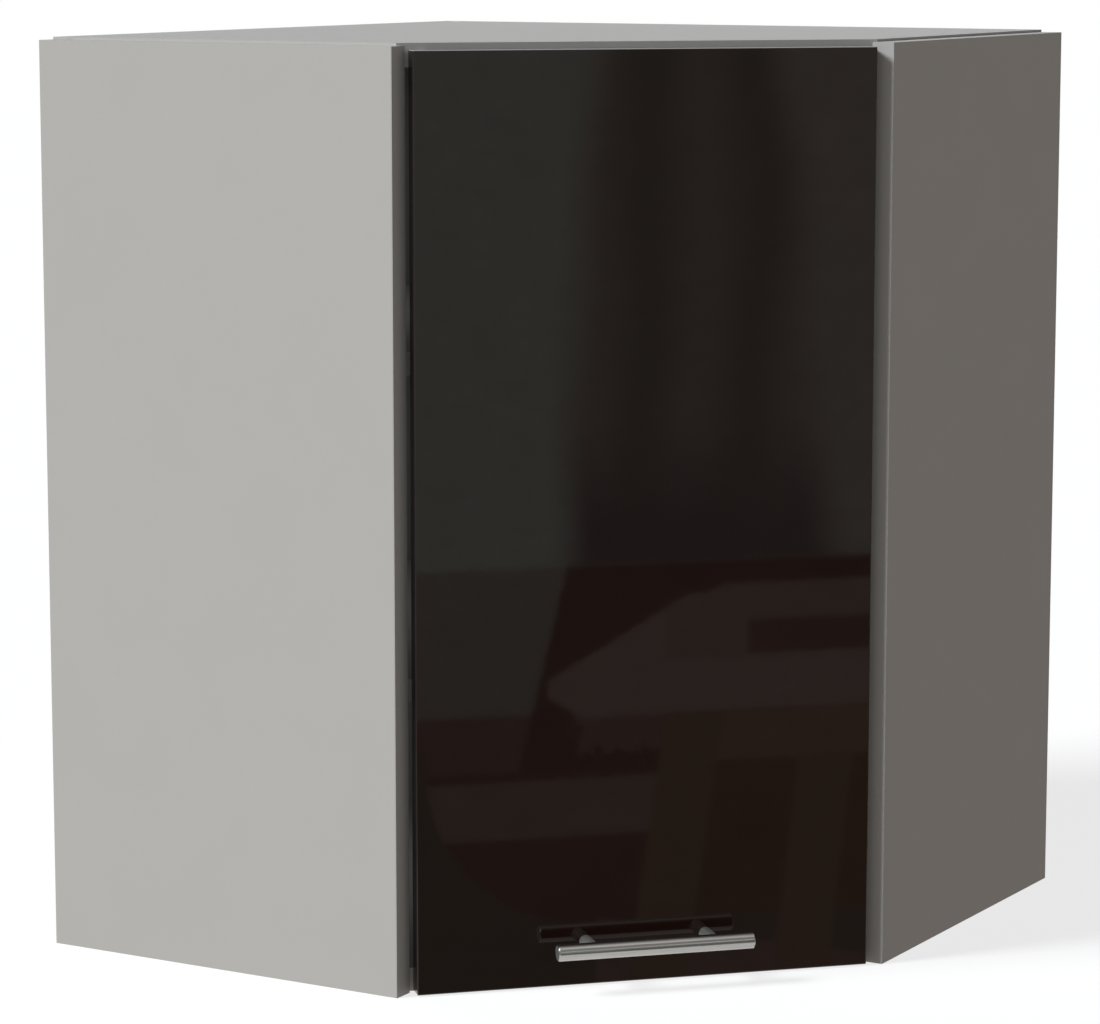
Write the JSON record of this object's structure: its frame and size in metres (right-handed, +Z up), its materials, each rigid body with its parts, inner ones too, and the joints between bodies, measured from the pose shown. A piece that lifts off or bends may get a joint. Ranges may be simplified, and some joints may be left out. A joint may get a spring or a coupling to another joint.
{
  "type": "corner wall cabinet",
  "caption": "Diagonal corner wall cabinet: grey laminate pentagon carcass with adjustable shelves, hangers and a high-gloss dark door with a bar handle.",
  "frame": {"origin": "foot of the room corner: the rear corner of the bottom panel's underside, where the two wall planes and the underside meet", "axes": "+Z up, the door faces -Y, +X to the right of someone who looks at the door; the walls run at 45 degrees between +-X and -Y"},
  "size_m": [0.8486, 0.6904, 0.722],
  "materials": {
    "carcass_board": "light warm grey melamine laminate on chipboard, fine satin texture",
    "edge_band": "light grey glued edge band, satin",
    "back_board": "light grey lacquered 3 mm hardboard",
    "post_board": "light grey foil-wrapped profile",
    "door_gloss": "high-gloss black-brown lacquered fibreboard",
    "handle_steel": "fine brushed stainless steel",
    "buffer_rubber": "soft translucent bumper",
    "dowel_wood": "plain beech dowel",
    "hanger_plastic": "white moulded plastic",
    "nickel_plated": "nickel-plated steel and die-cast zinc",
    "zinc_plated": "bright zinc-plated sheet steel",
    "fastener_steel": "zinc-plated screws and bolts"
  },
  "bodies": {
    "carcass": {"bottom_cam_bolts": "fastener_steel", "bottom_cam_discs": "nickel_plated", "bottom_dowels": "dowel_wood", "bottom_edge_band": "edge_band", "bottom_panel": "carcass_board", "corner_post_screws": "fastener_steel", "left_back_panel": "back_board", "left_hanger_adjusting_screws": "fastener_steel", "left_hanger_fixing_screws": "fastener_steel", "left_hanger_hook": "zinc_plated", "left_hanger_housing": "hanger_plastic", "left_side_edge_band": "edge_band", "left_side_panel": "carcass_board", "left_wall_plate": "zinc_plated", "lower_hinge_arm": "nickel_plated", "lower_hinge_arm_screws": "fastener_steel", "lower_hinge_plate": "nickel_plated", "lower_hinge_plate_screws": "fastener_steel", "lower_shelf": "carcass_board", "lower_shelf_edge_band": "edge_band", "lower_shelf_supports": "nickel_plated", "rear_corner_post": "post_board", "right_back_panel": "back_board", "right_hanger_adjusting_screws": "fastener_steel", "right_hanger_fixing_screws": "fastener_steel", "right_hanger_hook": "zinc_plated", "right_hanger_housing": "hanger_plastic", "right_side_edge_band": "edge_band", "right_side_panel": "carcass_board", "right_wall_plate": "zinc_plated", "top_cam_bolts": "fastener_steel", "top_cam_discs": "nickel_plated", "top_dowels": "dowel_wood", "top_edge_band": "edge_band", "top_panel": "carcass_board", "upper_hinge_arm": "nickel_plated", "upper_hinge_arm_screws": "fastener_steel", "upper_hinge_plate": "nickel_plated", "upper_hinge_plate_screws": "fastener_steel", "upper_shelf": "carcass_board", "upper_shelf_edge_band": "edge_band", "upper_shelf_supports": "nickel_plated"},
    "door": {"door_buffers": "buffer_rubber", "door_panel": "door_gloss", "handle_bar": "handle_steel", "handle_posts": "handle_steel", "handle_screws": "fastener_steel", "lower_hinge_cup": "nickel_plated", "lower_hinge_cup_screws": "fastener_steel", "lower_hinge_pin": "fastener_steel", "upper_hinge_cup": "nickel_plated", "upper_hinge_cup_screws": "fastener_steel", "upper_hinge_pin": "fastener_steel"}
  },
  "joints": [
    {"name": "door_swing", "type": "hinge", "parent": "carcass", "child": "door", "pos_m": [0.17363, -0.64817, 0.36], "axis": [0, 0, 1], "range_deg": [0, 95]}
  ]
}
